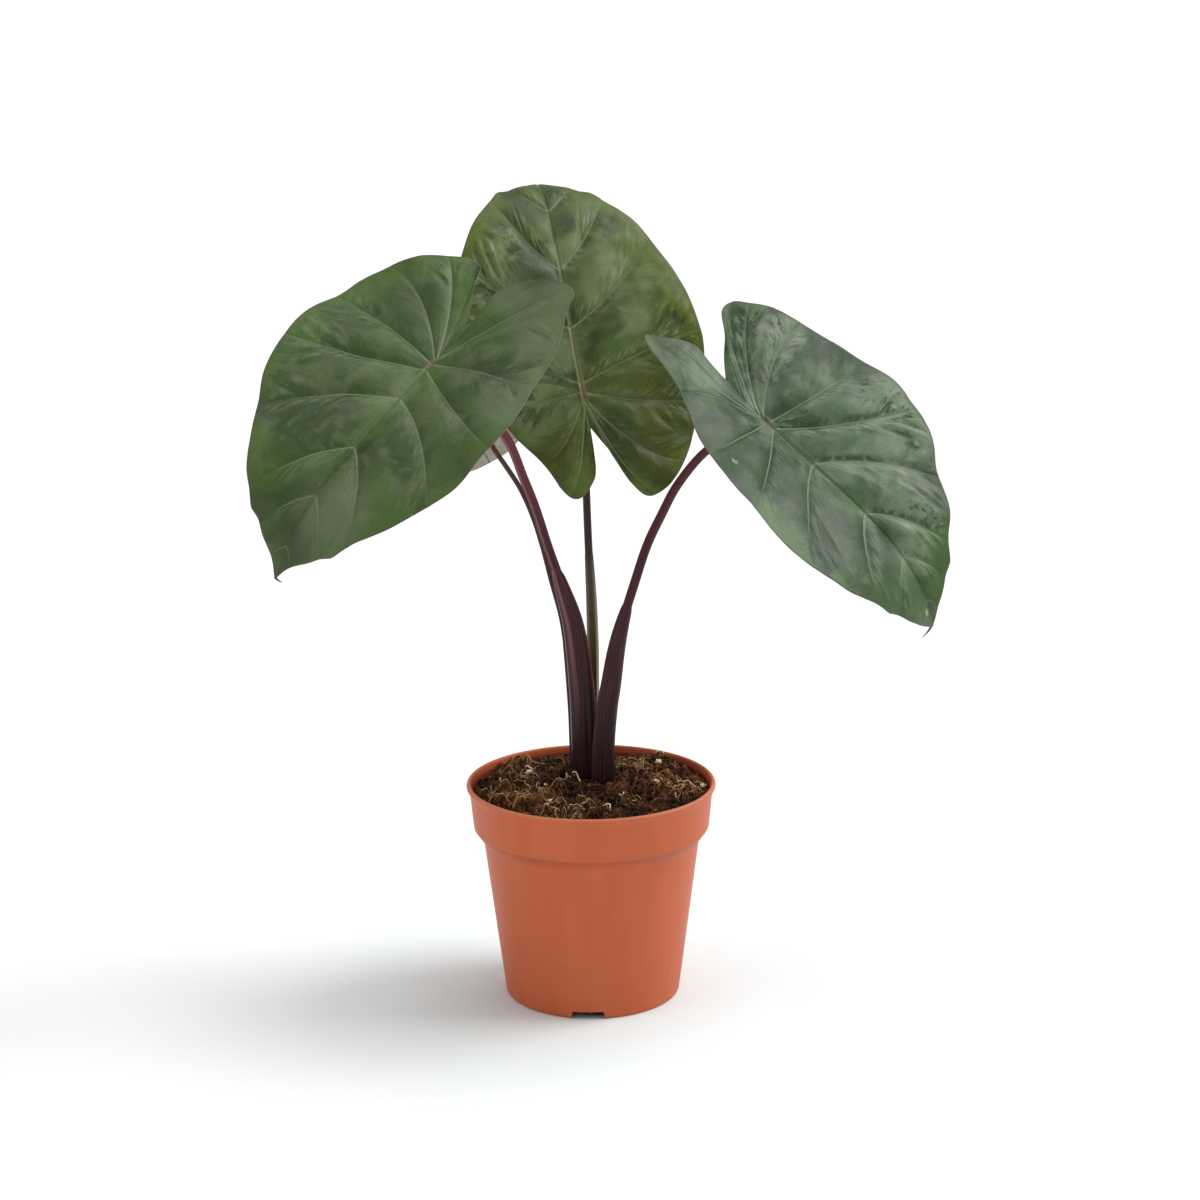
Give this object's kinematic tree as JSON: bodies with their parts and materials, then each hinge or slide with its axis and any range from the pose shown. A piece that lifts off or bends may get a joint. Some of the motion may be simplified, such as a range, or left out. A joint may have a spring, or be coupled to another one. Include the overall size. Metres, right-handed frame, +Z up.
{
  "type": "potted yucatan princess alocasia",
  "caption": "Young alocasia house plant with broad heart-shaped leaves on dark curved stalks, standing in a round terracotta-coloured plastic nursery pot of soil.",
  "frame": {"origin": "on the pot's axis, at the flat underside of its floor, where the pot stands", "axes": "+Z up along the pot's axis; the plant's front, as seen in the picture, faces -Y, and +X is to its right"},
  "size_m": [0.318, 0.1934, 0.3816],
  "materials": {
    "pot_plastic": "matte terracotta-coloured moulded plastic",
    "soil": "loose dark peat and coir with pale grains",
    "corm": "brown papery corm and pale roots",
    "petiole": "smooth waxy dark maroon stalk",
    "leaf": "satin dark green leaf with sunken pale veins",
    "leaf_olive": "satin olive green leaf with sunken pale veins"
  },
  "bodies": {
    "root": {"pot": "pot_plastic", "soil": "soil", "corm": "corm", "petiole_left": "petiole", "petiole_right": "petiole", "petiole_back": "petiole", "petiole_small": "petiole", "blade_left": "leaf", "blade_right": "leaf", "blade_back": "leaf_olive", "blade_small": "leaf"}
  },
  "joints": []
}
